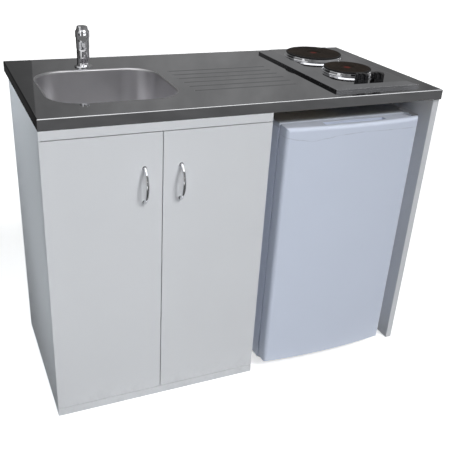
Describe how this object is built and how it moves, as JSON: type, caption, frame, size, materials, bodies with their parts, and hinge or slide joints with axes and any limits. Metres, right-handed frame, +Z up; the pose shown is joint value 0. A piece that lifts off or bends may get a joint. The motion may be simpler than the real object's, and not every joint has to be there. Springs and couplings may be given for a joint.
{
  "type": "kitchenette unit with sink and hob",
  "caption": "White kitchenette with a stainless worktop, pressed bowl, mixer tap, solid-plate hob, cupboard with doors and an under-counter refrigerator.",
  "frame": {"origin": "on the floor, in the middle of the overall width and depth", "axes": "+X to the right as seen from the front, +Y to the wall, +Z up; the doors face -Y"},
  "size_m": [1.2, 0.633, 1.0329],
  "materials": {
    "steel": "polished stainless sheet, mirror bright on the turned edges",
    "chrome": "bright chrome plate",
    "galvanised": "plain zinc or aluminium sheet",
    "melamine": "chipboard faced with smooth white melamine",
    "chipboard": "raw chipboard",
    "fridge_white": "glossy white enamel on sheet over foam",
    "white_plastic": "vacuum-formed white plastic",
    "foam": "foam-filled sheet shell, glossy white outside",
    "grey_plastic": "moulded grey plastic",
    "black_plastic": "glossy black thermoset",
    "iron": "black oxide over cast iron, worn smooth",
    "black_paint": "black stove enamel",
    "seal": "soft grey-white seal",
    "copper": "drawn copper tube with brass ends",
    "clear": "clear toughened glass",
    "smoke": "milky clear plastic"
  },
  "bodies": {
    "unit": {"worktop": "steel", "worktop_core": "chipboard", "sink_bowl": "steel", "waste_fitting": "chrome", "waste_nut": "grey_plastic", "trap": "white_plastic", "tap_body": "chrome", "tap_head": "chrome", "tap_nut": "chrome", "tap_tails": "copper", "hob_tray": "steel", "hob_box": "galvanised", "rear_ring": "chrome", "front_ring": "chrome", "rear_hotplate": "iron", "front_hotplate": "iron", "hob_switches": "grey_plastic", "cable_gland": "black_plastic", "left_side": "melamine", "right_side": "melamine", "bottom_panel": "melamine", "back_panel": "melamine", "fascia_rail": "melamine", "plinth_rail": "melamine", "rear_rail": "melamine", "shelf": "melamine", "shelf_pins": "chrome", "pivot_pins": "chrome", "magnet_catches": "white_plastic", "end_panel": "melamine", "bay_rail": "melamine", "fridge_cabinet": "foam", "fridge_liner": "white_plastic", "fridge_top": "white_plastic", "hinge_brackets": "chrome", "icebox": "galvanised", "glass_shelf": "clear", "crisper_drawer": "smoke", "fridge_feet": "black_plastic", "cooling_unit": "black_paint"},
    "left_door": {"left_door": "melamine", "left_handle": "chrome", "left_door_fixings": "chrome"},
    "right_door": {"right_door": "melamine", "right_handle": "chrome", "right_door_fixings": "chrome"},
    "fridge_door": {"fridge_door": "foam", "door_liner": "white_plastic", "door_gasket": "seal"},
    "spout": {"tap_spout": "chrome", "tap_aerator": "chrome"},
    "lever_hub": {"lever_hub": "chrome"},
    "lever": {"tap_lever": "chrome"},
    "left_knob": {"left_knob": "black_plastic", "left_spindle": "chrome"},
    "right_knob": {"right_knob": "black_plastic", "right_spindle": "chrome"},
    "basket": {"strainer_basket": "chrome"},
    "icebox_flap": {"icebox_flap": "smoke"},
    "thermostat": {"thermostat_knob": "grey_plastic"}
  },
  "joints": [
    {"name": "left_door_hinge", "type": "hinge", "parent": "unit", "child": "left_door", "pos_m": [-0.593, -0.2765, 0.44], "axis": [0, 0, -1], "range_deg": [0, 115]},
    {"name": "right_door_hinge", "type": "hinge", "parent": "unit", "child": "right_door", "pos_m": [0.023, -0.2765, 0.44], "axis": [0, 0, 1], "range_deg": [0, 115]},
    {"name": "fridge_door_hinge", "type": "hinge", "parent": "unit", "child": "fridge_door", "pos_m": [0.513, -0.2755, 0.43], "axis": [0, 0, 1], "range_deg": [0, 115]},
    {"name": "spout_swivel", "type": "hinge", "parent": "unit", "child": "spout", "pos_m": [-0.378, 0.1985, 0.98], "axis": [0, 0, 1], "range_deg": [-57, 83]},
    {"name": "lever_swivel", "type": "hinge", "parent": "unit", "child": "lever_hub", "pos_m": [-0.378, 0.1985, 1.01], "axis": [0, 0, 1], "range_deg": [-45, 45]},
    {"name": "lever_lift", "type": "hinge", "parent": "lever_hub", "child": "lever", "pos_m": [-0.378, 0.1985, 1.0129], "axis": [-0.9744, 0.225, 0], "range_deg": [0, 25]},
    {"name": "left_knob_turn", "type": "hinge", "parent": "unit", "child": "left_knob", "pos_m": [0.367, -0.1895, 0.938], "axis": [0, 0, 1], "continuous": true},
    {"name": "right_knob_turn", "type": "hinge", "parent": "unit", "child": "right_knob", "pos_m": [0.423, -0.1895, 0.938], "axis": [0, 0, 1], "continuous": true},
    {"name": "basket_lift", "type": "slide", "parent": "unit", "child": "basket", "axis": [0, 0, 1], "range_m": [0, 0.06]},
    {"name": "icebox_flap_hinge", "type": "hinge", "parent": "unit", "child": "icebox_flap", "pos_m": [0.297, -0.0885, 0.777], "axis": [-1, 0, 0], "range_deg": [0, 85]},
    {"name": "thermostat_turn", "type": "hinge", "parent": "unit", "child": "thermostat", "pos_m": [0.476, -0.1335, 0.639], "axis": [-1, 0, 0], "range_deg": [0, 270]}
  ]
}
